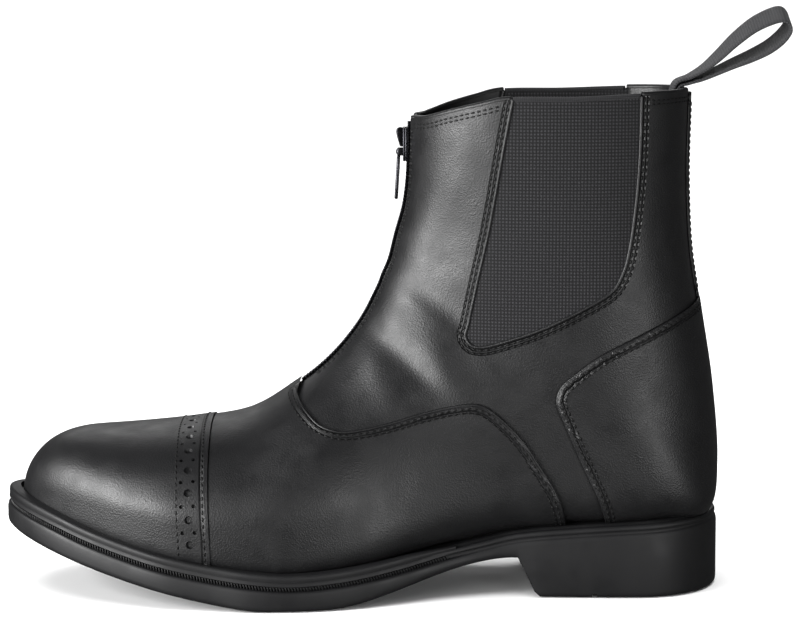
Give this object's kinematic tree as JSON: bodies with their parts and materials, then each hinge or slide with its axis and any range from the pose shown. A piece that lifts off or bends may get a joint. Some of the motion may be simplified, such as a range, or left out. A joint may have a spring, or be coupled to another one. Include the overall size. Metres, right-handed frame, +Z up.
{
  "type": "paddock boot",
  "caption": "Left ankle-high riding boot of black leather with a front zip, elastic side gores, capped brogue toe, low heel and a pull loop.",
  "frame": {"origin": "middle of the heel's flat floor face", "axes": "-X along the foot towards the toe, -Y to the outer (lateral) side, +Z up"},
  "size_m": [0.3131, 0.1044, 0.2296],
  "materials": {
    "leather": "satin",
    "rubber": "matte",
    "elastic": "matte",
    "webbing": "matte",
    "board": "matte",
    "metal": "satin"
  },
  "bodies": {
    "boot": {"outsole": "rubber", "welt": "rubber", "insole": "board", "upper": "leather", "vamp": "leather", "toe_cap": "leather", "heel_counter": "leather", "back_strap": "leather", "gore_lateral": "elastic", "gore_medial": "elastic", "zip_tape": "webbing", "zip_chain": "metal", "zip_slider": "metal", "pull_loop": "webbing"},
    "zip_pull": {"zip_pull": "metal"}
  },
  "joints": [
    {"name": "zip_pull_hinge", "type": "hinge", "parent": "boot", "child": "zip_pull", "pos_m": [-0.0889, 0, 0.172], "axis": [0, 1, 0], "range_deg": [0, 160]}
  ]
}
